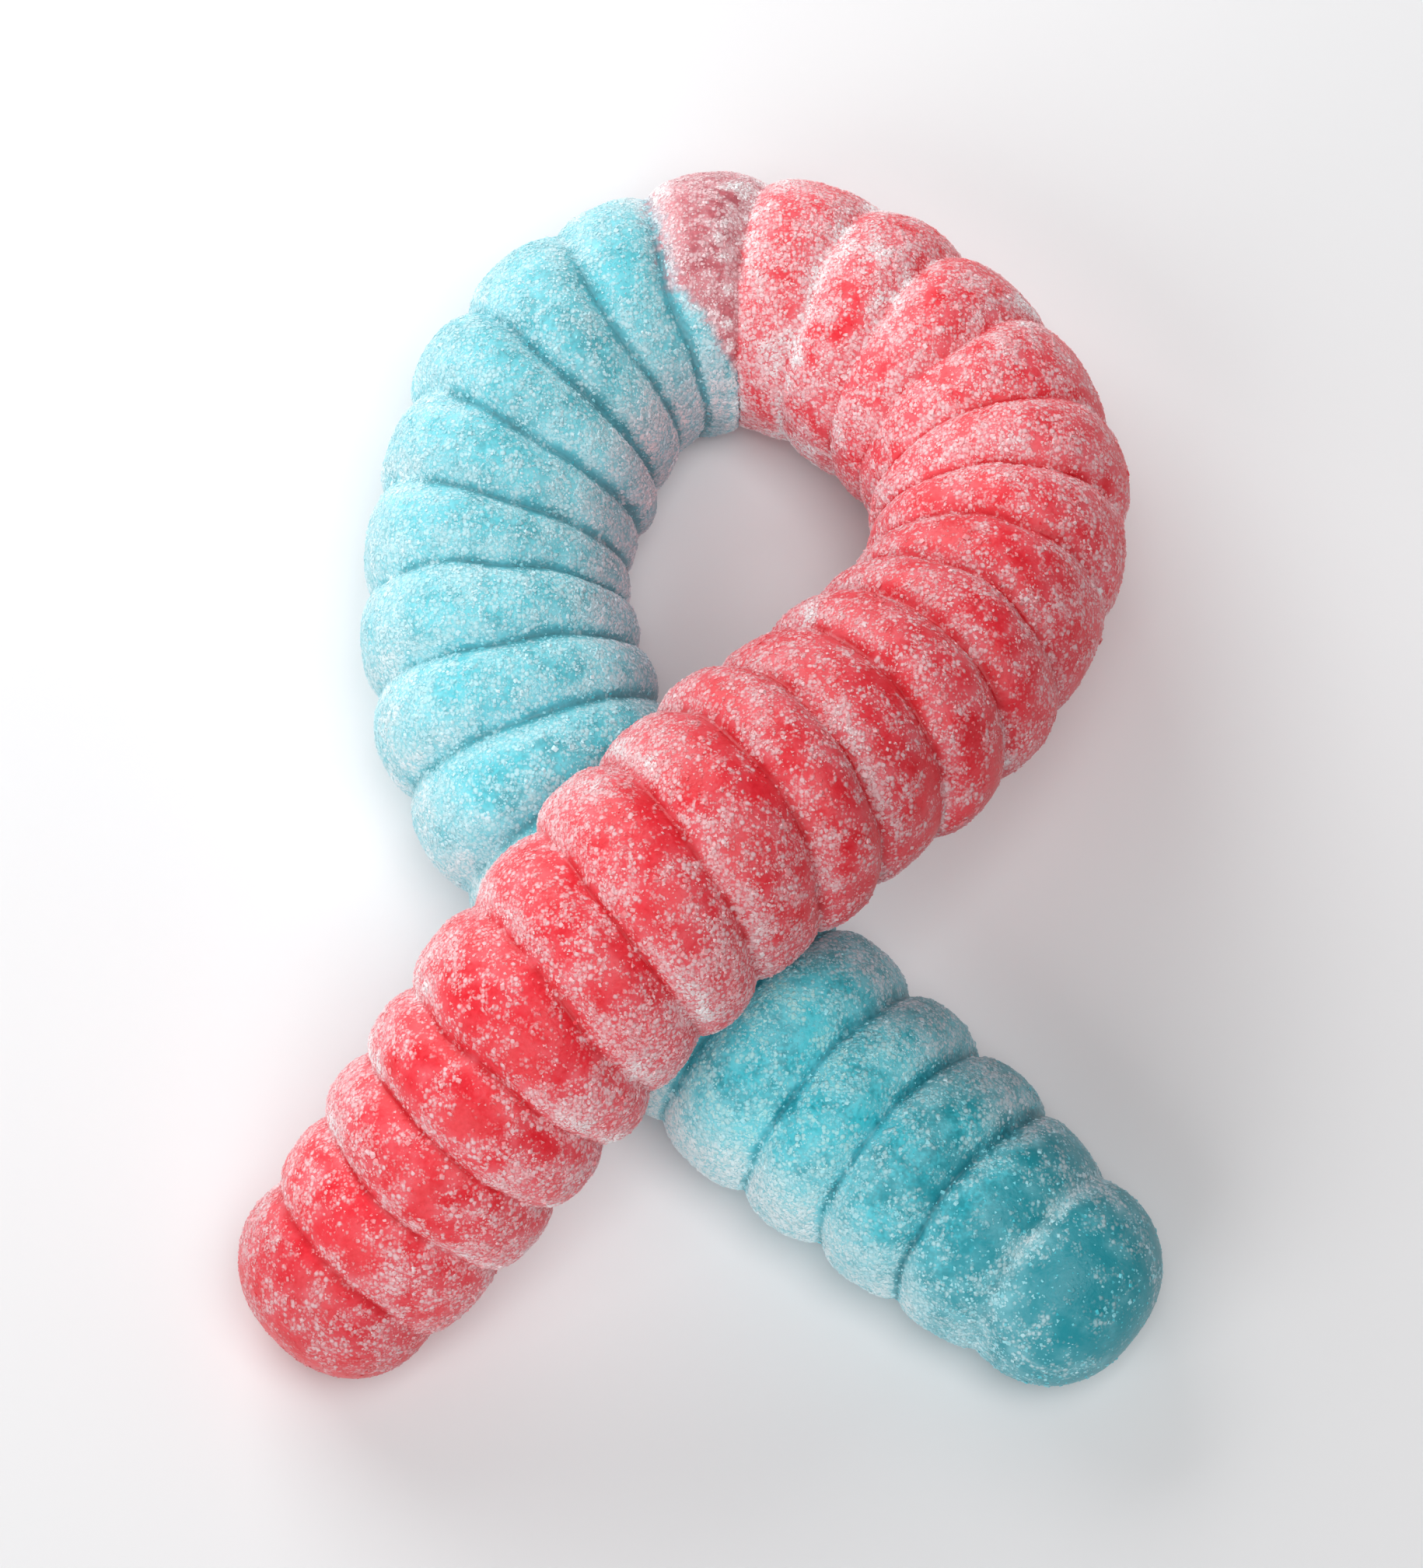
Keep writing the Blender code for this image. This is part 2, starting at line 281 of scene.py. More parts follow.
def mesh_piece(name, vertices, *face_groups, smooth=True):
    """Object at the origin whose mesh has the vertices, given in mm, and groups of equal-sided faces."""
    mesh = bpy.data.meshes.new(name)
    sides = np.concatenate([np.full(len(faces), faces.shape[1]) for faces in face_groups])
    corners = np.concatenate([faces.ravel() for faces in face_groups])
    mesh.vertices.add(len(vertices))
    mesh.vertices.foreach_set("co", (vertices * MM).astype(np.float32).ravel())
    mesh.loops.add(len(corners))
    mesh.loops.foreach_set("vertex_index", corners.astype(np.int32))
    mesh.polygons.add(len(sides))
    mesh.polygons.foreach_set("loop_start", np.r_[0, np.cumsum(sides)[:-1]].astype(np.int32))
    mesh.polygons.foreach_set("use_smooth", np.full(len(sides), smooth))
    mesh.update(calc_edges=True)
    piece = bpy.data.objects.new(name, mesh)
    bpy.context.scene.collection.objects.link(piece)
    return piece


def keep_values(piece, name, values):
    """One number for each vertex, for the material to read."""
    piece.data.attributes.new(name, "FLOAT", "POINT").data.foreach_set("value", values.astype(np.float32))


def keep_colours(piece, name, colours):
    """One colour for each vertex, for the material to read."""
    colours = np.c_[colours, np.ones(len(colours))].astype(np.float32)
    piece.data.attributes.new(name, "FLOAT_COLOR", "POINT").data.foreach_set("color", colours.ravel())


# The blue ends at groove 15 on the outside of the loop, and slants across the last ring to groove 16 on
# its inside; behind it the red starts at groove 16. These marks give the blue's end for each inward.
MAUVE_EDGE_MARKS = ((-1.0, 88.5), (0.15, 89.0), (0.5, 90.6), (0.7, 91.2), (0.87, 93.5), (1.0, 93.8))
RED_EDGE = 93.6

# Share of the jelly that sugar hides at places along the worm: on the crown of the rings, and on the
# flanks that face out of the loop and into it
CROWN_COVER_MARKS = (
    (0, 0.0), (8, 0.12), (16, 0.28), (22, 0.31), (34, 0.46), (50, 0.48), (66, 0.53), (86, 0.48),
    (91, 0.34), (96, 0.64), (102, 0.57), (112, 0.47), (122, 0.40), (136, 0.33), (148, 0.40), (158, 0.31),
    (166, 0.20), (184, 0.20), (194, 0.08),
)
OUTER_COVER_MARKS = (
    (0, 0.10), (6, 0.27), (14, 0.51), (34, 0.68), (50, 0.92), (66, 0.86), (93, 0.75), (110, 0.46),
    (125, 0.27), (140, 0.22), (150, 0.34), (160, 0.66), (170, 0.64), (180, 0.60), (194, 0.30),
)
INNER_COVER_MARKS = (
    (0, 0.05), (10, 0.25), (30, 0.50), (60, 0.75), (90, 0.85), (100, 0.70), (125, 0.50), (145, 0.62),
    (158, 0.74), (180, 0.80), (194, 0.40),
)
FLANK_RANGE, FULL_COVER = (0.35, 0.95), 1.25

# How strongly the cover changes from patch to patch, and the layers of patches
PATCHINESS_MARKS = (
    (0, 0.7), (88, 0.6), (92, 0.6), (100, 1.7), (108, 1.5), (116, 1.0), (180, 1.0), (194, 1.3),
)
PATCH_LAYERS = ((0.18, 4.0, 11), (0.28, 1.9, 12), (0.28, 0.9, 13))

# The blue tail has a white outer edge, and less sugar on the outer half of its crown than on the other
TAIL_EDGE_COVER, TAIL_EDGE_RANGE = 0.6, (0.75, 1.0)
TAIL_EDGE_MARKS = ((6, 0), (12, 1), (34, 1), (44, 0))
TAIL_TILT_MARKS, TAIL_TILT_TURN = ((4, 0.06), (10, 0.16), (18, 0.14), (26, 0)), 0.9 * np.pi

# The mauve ring has a white line at its blue edge, and coarse clumps beside the red
WHITE_LINE_COVER, WHITE_LINE_WIDTH, WHITE_LINE_RANGE = 0.35, 0.8, (-0.8, 0.0)
CLUMP_PLACE, CLUMP_WIDTH, CLUMP_RANGE = 92.4, 1.1, (-0.9, -0.6)
CLUMP_COVER, CLUMP_LAYERS = 0.15, ((1.3, 0.55, 15),)

# Sugar gathers on the shoulders of the grooves, and on the red tail against the tip side of each ring
SHOULDER_PLACE, SHOULDER_WIDTH, SHOULDER_COVER = 0.75, 0.50, 0.16
RED_TAIL_START, TIP_SIDE_PHASES = (134.0, 146.0), (0.4, 0.6)
TIP_SIDE_COVER, OTHER_SIDE_LOSS = 0.50, 0.34

# The bottom of a groove is a narrow band, up to twice as wide where it is well filled, or open on the
# blue half's side in the loop. Its sugar is patchy, with ragged edges, and where it is bare the jelly gets
# painted shade.
BOTTOM_WIDTH, WELL_FILLED, WIDENING = 0.24, 0.4, 1.6
OPEN_BLUE_RANGE = (-0.1, 0.5)
FILL_SHARE, FILL_LAYERS, STRAY_FILL_LAYERS = 0.80, ((0.7, 1.2, 16),), ((0.3, 0.7, 14),)
RAGGEDNESS, RAGGED_SIZE, RAGGED_SEED = 0.3, 0.8, 17


def bell(value, middle, width):
    """Bell curve exp(-((value - middle) / width)^2)."""
    return np.exp(-(((value - middle) / width) ** 2))


def groove_bottom(points, places, inward, nearest):
    """How near each point is to the bottom of a groove, from 0 to 1 by a bell curve across the groove,
    and how full of sugar that bottom is."""
    fill = groove_fill(places, inward) * (FILL_SHARE + clouds(points, FILL_LAYERS))
    fill = np.clip(fill + clouds(points, STRAY_FILL_LAYERS), 0.0, 1.0)
    open_blue = (places < BLUE_END) * smooth_step(inward, *OPEN_BLUE_RANGE)
    wide = np.clip(np.maximum(WIDENING * (fill - WELL_FILLED), open_blue), 0.0, 1.0)
    ragged = nearest + RAGGEDNESS * fill * cloud(points, RAGGED_SIZE, RAGGED_SEED)
    return bell(ragged, 0.0, BOTTOM_WIDTH + BOTTOM_WIDTH * wide), fill


def sugar_cover(points, places, inward, nearest, phases, mauve_depth):
    """Share of the jelly that sugar hides. The crown's marks pass into the flank's, and patches, the blue
    tail's edge and tilt, the mauve ring's line and clumps, and the grooves' shoulders are added. In the
    bottom of a groove it passes to the groove's fill. With it comes how bare that bottom is."""
    crown = marked(places, CROWN_COVER_MARKS)
    side = np.where(inward > 0, marked(places, INNER_COVER_MARKS), marked(places, OUTER_COVER_MARKS))
    cover = crown + smooth_step(np.abs(inward), *FLANK_RANGE) * (side - crown)
    cover += marked(places, PATCHINESS_MARKS) * clouds(points, PATCH_LAYERS)

    edge = smooth_step(-inward, *TAIL_EDGE_RANGE) * marked(places, TAIL_EDGE_MARKS)
    cover += TAIL_EDGE_COVER * edge
    cover += marked(places, TAIL_TILT_MARKS) * np.sin(TAIL_TILT_TURN * inward)
    white_line = bell(mauve_depth, 0.0, WHITE_LINE_WIDTH) * smooth_step(-inward, *WHITE_LINE_RANGE)
    cover += WHITE_LINE_COVER * white_line
    beside_red = bell(places, CLUMP_PLACE, CLUMP_WIDTH) * smooth_step(inward, *CLUMP_RANGE)
    cover += (CLUMP_COVER + clouds(points, CLUMP_LAYERS)) * beside_red

    shoulder = bell(nearest, SHOULDER_PLACE, SHOULDER_WIDTH)
    tip_side = TIP_SIDE_COVER * smooth_step(phases, *TIP_SIDE_PHASES) - OTHER_SIDE_LOSS
    cover += shoulder * (SHOULDER_COVER + smooth_step(places, *RED_TAIL_START) * tip_side)
    bottom, fill = groove_bottom(points, places, inward, nearest)
    return np.clip(cover + bottom * (FULL_COVER * fill - cover), 0.0, FULL_COVER), bottom * (1.0 - fill)


# Factors for red, green and blue at some places, all of them painted light and shade: painted shade that
# greys and warms the sugar on the blue half's side in the loop, painted shade over the arch and at the
# red tip, and painted light where the blue tail leaves the crossing
LOOP_SIDE_PAINTED_SHADE, ARCH_AND_TIP_PAINTED_SHADE, BLUE_PAINTED_LIGHT = (1.08, 0.74, 0.76), (0.87, 0.87, 0.87), (0.96, 1.20, 1.20)
# Painted shade on the blue half's side in the loop: its share at places along the worm, and its range of
# inward
LOOP_SIDE_SHADE_MARKS = ((0, 0.5), (10, 0.75), (30, 0.75), (45, 0.3), (55, 1.0), (80, 0.9), (91, 0.5), (92, 0))
LOOP_SIDE_SHADE_RANGE, LOOP_SIDE_SHADE_WIDER_ON_TAIL = (0.55, 1.0), 0.2
# Painted shade over the arch and at the red tip, by place
ARCH_AND_TIP_SHADE_MARKS = ((121, 0), (130, 1), (151, 1), (160, 0.2), (165, 0), (184, 0), (190, 1))
# Painted light on the blue tail where it leaves the crossing, by place and over ranges of inward
BLUE_LIGHT_MARKS = ((4, 0), (10, 0.5), (16, 0.5), (24, 1), (34, 0.8), (46, 0.3), (58, 0.3), (70, 0))
BLUE_LIGHT_START_RANGE, BLUE_LIGHT_END_RANGE = (-1.1, -0.6), (0.1, 0.8)


def light_and_shade_factors(places, inward):
    """Painted light and shade: the product of the three factors, each of them 1 + share (factor - 1), with
    its share by place and inward."""
    tail = on_blue_tail(places)
    loop_side_shade = smooth_step(inward + LOOP_SIDE_SHADE_WIDER_ON_TAIL * tail, *LOOP_SIDE_SHADE_RANGE) * marked(places, LOOP_SIDE_SHADE_MARKS)
    # Painted shade over the arch and at the red tip
    deep = marked(places, ARCH_AND_TIP_SHADE_MARKS)
    blue_light = marked(places, BLUE_LIGHT_MARKS) * smooth_step(inward, *BLUE_LIGHT_START_RANGE)
    blue_light *= 1.0 - tail * smooth_step(inward, *BLUE_LIGHT_END_RANGE)
    # Painted shade in the loop, painted shade over the arch and at the red tip, and painted light on the blue
    # tail
    loop_side_shade, deep, blue_light = (
        1.0 + share[..., None] * (np.array(factor) - 1.0)
        for share, factor in ((loop_side_shade, LOOP_SIDE_PAINTED_SHADE), (deep, ARCH_AND_TIP_PAINTED_SHADE), (blue_light, BLUE_PAINTED_LIGHT))
    )
    return loop_side_shade * deep * blue_light


# Columns of what is kept at each vertex, behind its x, y and z
COVER, BARE_BOTTOM, MAUVE_DEPTH, RED_DEPTH, PAINTED_LIGHT_AND_SHADE = 3, 4, 5, 6, 7

skin, places, turned, nearest, phases = jelly_skin()
mauve_depth = places - marked(np.sin(turned), MAUVE_EDGE_MARKS)
red_depth = places - RED_EDGE
cover, bare_bottom = sugar_cover(skin, places, np.sin(turned), nearest, phases, mauve_depth)
# Painted light and shade, kept for the jelly and its crystals
painted_light_and_shade = light_and_shade_factors(places, np.sin(turned))
worm, quads, fans = closed_tube(np.dstack([skin, cover, bare_bottom, mauve_depth, red_depth, painted_light_and_shade]))
jelly = mesh_piece("gummy_jelly", worm[:, :3], quads, fans)
keep_values(jelly, "sugar_cover", worm[:, COVER])
keep_values(jelly, "bare_bottom", worm[:, BARE_BOTTOM])
keep_values(jelly, "mauve_depth", worm[:, MAUVE_DEPTH])
keep_values(jelly, "red_depth", worm[:, RED_DEPTH])
keep_colours(jelly, "painted_light_and_shade", worm[:, PAINTED_LIGHT_AND_SHADE:])

# Deep and light tones of each jelly, its tone under a haze of sugar, and that of the sugar on it
JELLY_TONES = {
    "blue": ((0.020, 0.33, 0.40), (0.060, 0.62, 0.72), (0.42, 0.85, 0.93), (0.76, 0.94, 0.98)),
    "mauve": ((0.42, 0.035, 0.060), (0.64, 0.10, 0.13), (0.88, 0.46, 0.50), (0.96, 0.76, 0.79)),
    "red": ((0.84, 0.010, 0.024), (0.94, 0.030, 0.050), (0.98, 0.31, 0.36), (0.98, 0.67, 0.70)),
}
DEEP_TONE, LIGHT_TONE, HAZE_TONE, SUGAR_TONE = range(4)
# Painted shade for the bare bottoms of the grooves, and the colour of thick sugar
GROOVE_PAINTED_SHADE, THICK_SUGAR = (0.76, 0.55, 0.58), (0.96, 0.94, 0.95)

# The noises below are each given by a size in mm, a detail and for the veil a roughness, and then the
# strength of their swing. The dye's edges run over ramps of the depth in mm, with two of them. The
# jelly is mottled, and darker where the depth below the red edge reaches the blue tip.
MAUVE_RAMP, RED_RAMP = (-1.1, 0.9), (-0.25, 0.25)
STRAY_NOISE, STRAY, SMEAR_NOISE, SMEAR = (0.5, 3.0), 1.6, (0.35, 2.0), 2.4
TIP_DEPTHS, TIP_DEEPENING = (-74.0, -90.0), -0.45
MOTTLE_NOISE, MOTTLE_RAMP, SPECKLE_NOISE, SPECKLE = (1.4, 3.0), (0.20, 0.70), (0.14, 1.0), 0.7

# Grains of two sizes that are there where their random number and the crowd reach the first ramp, and
# are round by the second one. The crowd is a line of the cover, with coarse and fine clumps.
GRAIN_THERE, GRAIN_ROUND = (0.86, 1.14), (0.78, 0.34)
FINE_GRAIN, FINE_STRENGTH, COARSE_GRAIN, COARSE_CROWD = 0.17, 0.5, 0.29, (0.85, -0.06)
CROWD_PER_COVER, CROWD_START = 0.92, -0.02
CLUMP_NOISE, CLUMPING, CURD_NOISE, CURDLING = (0.6, 3.0), 2.4, (0.24, 1.0), 0.8

# The haze grows with the cover and a veil of noise, and is thinner on the red. A film lies on the blue
# from the crossing to the mauve ring. Grains hide less of the jelly where there are few.
HAZE_RAMP, HAZE_STRENGTH, HAZE_LOSS_ON_RED = (-0.1, 1.2), 0.75, -0.13
VEIL_NOISE, VEIL = (0.7, 3.0, 0.6), 1.3
FILM, FILM_DEPTHS = 0.2, (-48.0, -60.0)
GRAIN_SHARE, MORE_ON_RED = 0.62, 0.26
LONE_SHARE, CROWD_RAMP = 0.6, (-0.05, 0.35)
THICK_SHARE, THICK_RAMP = 0.6, (0.8, 1.15)

# The surface is rougher under frost, with grains and fine noise as bump, and glows faintly inside
ROUGHNESS, FROST_ROUGHNESS = 0.38, 0.30
BUMP_STRENGTH, BUMP_HEIGHT, BUMP_NOISE, NOISE_SHARE = 0.6, 0.12 * MM, (0.17, 2.0), 0.6
JELLY_SURFACE = {
    "Subsurface Weight": 0.35, "Subsurface Radius": (1.0, 1.0, 1.0), "Subsurface Scale": 0.8 * MM,
    "Sheen Weight": 0.07, "Sheen Roughness": 0.5, "IOR": 1.42,
}


class Shading:
    """Node tree of one material, with short ways to add and join its nodes."""

    def __init__(self, name, surface):
        """New material whose surface has the given constant values."""
        self.material = bpy.data.materials.new(name)
        self.material.use_nodes = True
        self.tree = self.material.node_tree
        self.surface = self.tree.nodes["Principled BSDF"]
        for key, value in surface.items():
            self.surface.inputs[key].default_value = value

    def join(self, socket, value):
        """Link a node's output to the socket, or set the socket to a number or colour."""
        if isinstance(value, bpy.types.NodeSocket):
            self.tree.links.new(value, socket)
        else:
            socket.default_value = value

    def add(self, kind, output, settings=(), **inputs):
        """Output of a new node of the kind, with its settings and its inputs by name."""
        node = self.tree.nodes.new(kind)
        for key, value in dict(settings).items():
            setattr(node, key, value)
        for key, value in inputs.items():
            self.join(node.inputs[key.replace("_", " ")], value)
        return node.outputs[output]

    def number(self, name):
        """Number kept at the vertices."""
        return self.add("ShaderNodeAttribute", "Fac", {"attribute_name": name})

    def colour(self, name):
        """Colour kept at the vertices."""
        return self.add("ShaderNodeAttribute", "Color", {"attribute_name": name})

    def mix(self, share, first, second):
        """Colour between the first and the second one."""
        node = self.tree.nodes.new("ShaderNodeMix")
        node.data_type = "RGBA"
        for socket, given in ((node.inputs[0], share), (node.inputs[6], first), (node.inputs[7], second)):
            if isinstance(given, tuple):
                given = (*given, 1.0)
            self.join(socket, given)
        return node.outputs[2]

    def math(self, operation, *given, kind="ShaderNodeMath"):
        """One operation on numbers, or with the vector kind on colours, channel by channel."""
        node = self.tree.nodes.new(kind)
        node.operation = operation
        for socket, value in zip(node.inputs, given):
            self.join(socket, value)
        return node.outputs[0]

    def plus(self, first, second):
        """Sum of two numbers."""
        return self.math("ADD", first, second)

    def times(self, first, second):
        """Product of two numbers."""
        return self.math("MULTIPLY", first, second)

    def line(self, value, slope, start):
        """Straight line: value times slope, plus start."""
        return self.math("MULTIPLY_ADD", value, slope, start)

    def most(self, first, second):
        """Greater of two numbers."""
        return self.math("MAXIMUM", first, second)

    def ramp(self, value, low, high):
        """Smooth step from 0 at low to 1 at high, which may be the lower number."""
        return self.add(
            "ShaderNodeMapRange", "Result", {"interpolation_type": "SMOOTHSTEP"},
            Value=value, From_Min=low, From_Max=high,
        )

    def noise(self, size, detail, roughness=0.5):
        """Noise from 0 to 1 whose blobs are about size mm across."""
        return self.add(
            "ShaderNodeTexNoise", "Fac", Vector=self.add("ShaderNodeTexCoord", "Object"),
            Scale=1.0 / (2.0 * size * MM), Detail=detail, Roughness=roughness,
        )

    def swing(self, noise, strength):
        """The noise about zero, from minus to plus half the strength."""
        return self.line(self.noise(*noise), strength, -0.5 * strength)

    def grains(self, spacing, crowd):
        """Round grains of sugar in cells about spacing mm apart. The cell's random number says whether its
        grain is there, which is as likely as crowd says."""
        place = self.add("ShaderNodeTexCoord", "Object")
        cell = self.add("ShaderNodeTexVoronoi", "Distance", Vector=place, Scale=1.0 / (spacing * MM))
        draw = self.add("ShaderNodeSeparateColor", "Red", Color=cell.node.outputs["Color"])
        return self.times(self.ramp(self.plus(draw, crowd), *GRAIN_THERE), self.ramp(cell, *GRAIN_ROUND))


def jelly_colours(shading):
    """How far the jelly is red, and its dye, its tone under a haze and that of the sugar on it. Each
    colour passes to the next by a ramp of the depth past its edge, with noise, and the dye is mottled
    between its deep and light tones, darker towards the blue tip, and darkened by painted shade in the
    bare bottoms of the grooves."""
    stray = shading.swing(STRAY_NOISE, STRAY)
    smear = shading.plus(shading.swing(SMEAR_NOISE, SMEAR), stray)
    to_mauve = shading.ramp(shading.plus(shading.number("mauve_depth"), smear), *MAUVE_RAMP)
    to_red = shading.ramp(shading.plus(shading.number("red_depth"), stray), *RED_RAMP)
    blue, mauve, red = JELLY_TONES.values()
    tones = [
        shading.mix(to_red, shading.mix(to_mauve, blue[tone], mauve[tone]), red[tone])
        for tone in (DEEP_TONE, LIGHT_TONE, HAZE_TONE, SUGAR_TONE)
    ]
    tip = shading.ramp(shading.number("red_depth"), *TIP_DEPTHS)
    mottle = shading.line(tip, TIP_DEEPENING, shading.noise(*MOTTLE_NOISE))
    mottle = shading.plus(mottle, shading.swing(SPECKLE_NOISE, SPECKLE))
    dye = shading.mix(shading.ramp(mottle, *MOTTLE_RAMP), tones[DEEP_TONE], tones[LIGHT_TONE])
    # Painted shade in the bare bottoms of the grooves
    groove_shaded_dye = shading.math("MULTIPLY", dye, GROOVE_PAINTED_SHADE, kind="ShaderNodeVectorMath")
    dye = shading.mix(shading.number("bare_bottom"), dye, groove_shaded_dye)
    return to_red, dye, tones[HAZE_TONE], tones[SUGAR_TONE]


def sugar_grains(shading, cover):
    """Fine and coarse grains, whichever is stronger, as crowded as a line of the cover with clumps."""
    clumps = shading.plus(shading.swing(CLUMP_NOISE, CLUMPING), CROWD_START)
    clumps = shading.plus(clumps, shading.swing(CURD_NOISE, CURDLING))
    crowd = shading.line(cover, CROWD_PER_COVER, clumps)
    fine = shading.times(shading.grains(FINE_GRAIN, crowd), FINE_STRENGTH)
    coarse = shading.grains(COARSE_GRAIN, shading.line(crowd, *COARSE_CROWD))
    return shading.most(fine, coarse)


def jelly_finish():
    """Dyed, cloudy jelly with a haze or film of sugar mixed in, grains of sugar over it, and the kept
    painted light and shade times all of it, up to 1."""
    shading = Shading("sugared_jelly", JELLY_SURFACE)
    to_red, dye, haze_tone, sugar_tone = jelly_colours(shading)
    cover = shading.number("sugar_cover")
    grains = sugar_grains(shading, cover)
    veiled = shading.plus(cover, shading.swing(VEIL_NOISE, VEIL))
    strength = shading.line(to_red, HAZE_LOSS_ON_RED, HAZE_STRENGTH)
    haze = shading.times(shading.ramp(veiled, *HAZE_RAMP), strength)
    no_film = shading.most(to_red, shading.ramp(shading.number("red_depth"), *FILM_DEPTHS))
    hazed = shading.mix(shading.most(haze, shading.line(no_film, -FILM, FILM)), dye, haze_tone)

    thick = shading.times(shading.ramp(cover, *THICK_RAMP), THICK_SHARE)
    crowded = shading.ramp(cover, *CROWD_RAMP)
    share = shading.times(grains, shading.line(to_red, MORE_ON_RED, GRAIN_SHARE))
    share = shading.times(share, shading.line(crowded, 1.0 - LONE_SHARE, LONE_SHARE))
    sugared = shading.mix(share, hazed, shading.mix(thick, sugar_tone, THICK_SUGAR))
    # The kept painted light and shade multiplies the colour
    lit_and_shaded = shading.math("MULTIPLY", sugared, shading.colour("painted_light_and_shade"), kind="ShaderNodeVectorMath")
    within = shading.math("MINIMUM", lit_and_shaded, (1.0, 1.0, 1.0), kind="ShaderNodeVectorMath")
    shading.join(shading.surface.inputs["Base Color"], within)
    rough = shading.line(shading.most(haze, grains), FROST_ROUGHNESS, ROUGHNESS)
    shading.join(shading.surface.inputs["Roughness"], rough)
    height = shading.plus(grains, shading.times(shading.noise(*BUMP_NOISE), NOISE_SHARE))
    bump = shading.add(
        "ShaderNodeBump", "Normal", Strength=BUMP_STRENGTH, Distance=BUMP_HEIGHT, Height=height,
    )
    shading.join(shading.surface.inputs["Normal"], bump)
    return shading.material


jelly.data.materials.append(jelly_finish())
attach(jelly, "root")
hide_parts("gummy_worm")

# The sugar: clear to white crystals of about 0.2 mm that stick to the tacky jelly, singly on the crowns
# of the rings and crowded on their shoulders. Each kind is one joined mesh of crystals half sunk in it.
BLOCK = (
    np.array([(x, y, z) for x in (-1, 1) for y in (-1, 1) for z in (-1, 1)], float),
    np.array(((0, 1, 3, 2), (4, 6, 7, 5), (0, 4, 5, 1), (2, 3, 7, 6), (0, 2, 6, 4), (1, 5, 7, 3))),
)
CHIP = (
    np.array(((1, 0, 0), (-1, 0, 0), (0, 1, 0), (0, -1, 0), (0.3, 0.2, 1), (-0.2, 0.1, -1)), float),
    np.array(((0, 2, 4), (2, 1, 4), (1, 3, 4), (3, 0, 4), (2, 0, 5), (1, 2, 5), (3, 1, 5), (0, 3, 5))),
)
GRIT = (
    np.array(((1, 1, 1), (-1, -1, 1), (-1, 1, -1), (1, -1, -1)), float),
    np.array(((0, 2, 1), (0, 1, 3), (0, 3, 2), (1, 2, 3))),
)
# Each kind: its shape, count, middle size in mm, spread of sizes, seed, and start and power of how its
# crowding grows with the cover
CRYSTALS = {
    "sugar_blocks": (BLOCK, 14000, 0.075, 0.25, 21, 0.02, 1.3),
    "sugar_chips": (CHIP, 24000, 0.090, 0.25, 31, 0.02, 1.5),
    "sugar_grit": (GRIT, 49000, 0.060, 0.25, 41, 0.08, 1.0),
    "sugar_dust": (GRIT, 49000, 0.045, 0.20, 51, 0.10, 1.0),
    "sugar_frost": (CHIP, 24000, 0.090, 0.30, 61, 0.00, 2.5),
}
BARE_UNDERSIDE = 0.3

# Crystals are chosen from three times as many, most of them in clumps of two sizes, and lie flat. The
# seeds of the clumps and of the crystals' shapes are counted from the kind's own.
CHOICE, CRYSTAL_CLUMPS, CLUMP_LOOSENESS = 3, ((1.0, 0.32, 1), (0.5, 0.75, 2)), 0.35
SHAPE_SEED = 3
PROPORTIONS, LARGEST, FLATNESS, STANDING_PROUD = (0.7, 1.3), 2.2, 0.45, 0.6

# How pale a crystal is: lines of the cover for lone and for crowded crystals, and more in a clump. How
# white it is: a line of the cover, and more where the sugar lies thick.
LONE_PALENESS, CROWDED_PALENESS, PALENESS_SPREAD = (0.06, 0.92), (0.24, 0.52), 0.13
CLUMP_PALENESS, CLUMP_RAMP = 0.30, (0.2, 1.0)
WHITENESS, WHITENESS_START, WHITENESS_SPREAD = 0.25, -0.05, 0.12
THICK_WHITENESS, THICK_WHITENESS_RAMP = 0.5, (0.8, 1.1)
CRYSTAL_WHITE = np.array((0.96, 0.95, 0.96))
CRYSTAL_MAUVE_EDGE, CRYSTAL_RED_EDGE = (-0.3, 0.5), (-0.3, 0.3)
LESS_PALE_ON_BLUE, LESS_WHITE_ON_BLUE = 0.14, 0.4
CRYSTAL_SURFACE = {"Roughness": 0.35, "IOR": 1.54}


def skin_points(count, start, power, seed):
    """Random points on the jelly, with their normals and what is kept there: triangles drawn by area
    times start + cover^power, and in each a point that two even draws set. None lie underneath."""
    draw = np.random.default_rng(seed)
    triangles = np.vstack([quads[:, (0, 1, 2)], quads[:, (0, 2, 3)], fans])
    a, b, c = (worm[triangles[:, k]] for k in range(3))
    middle = (a + b + c) / 3
    normal = np.cross(b[:, :3] - a[:, :3], c[:, :3] - a[:, :3])
    area = np.linalg.norm(normal, axis=1)
    likely = area * (start + middle[:, COVER] ** power)
    likely[middle[:, 2] < BARE_UNDERSIDE] = 0.0
    picked = draw.choice(len(triangles), count, p=likely / likely.sum())
    u, v = draw.random((2, count))
    over = u + v > 1.0
    u[over], v[over] = 1.0 - u[over], 1.0 - v[over]
    at = a[picked] + u[:, None] * (b - a)[picked] + v[:, None] * (c - a)[picked]
    return at, normal[picked] / area[picked, None]


def random_turns(draw, count):
    """Rotation matrices by an even draw of all directions: those of the unit quaternions along four
    normal draws."""
    q = draw.normal(size=(count, 4))
    w, x, y, z = (q / np.linalg.norm(q, axis=1, keepdims=True)).T
    return np.array((
        (1 - 2 * (y * y + z * z), 2 * (x * y - z * w), 2 * (x * z + y * w)),
        (2 * (x * y + z * w), 1 - 2 * (x * x + z * z), 2 * (y * z - x * w)),
        (2 * (x * z - y * w), 2 * (y * z + x * w), 1 - 2 * (x * x + y * y)),
    ))


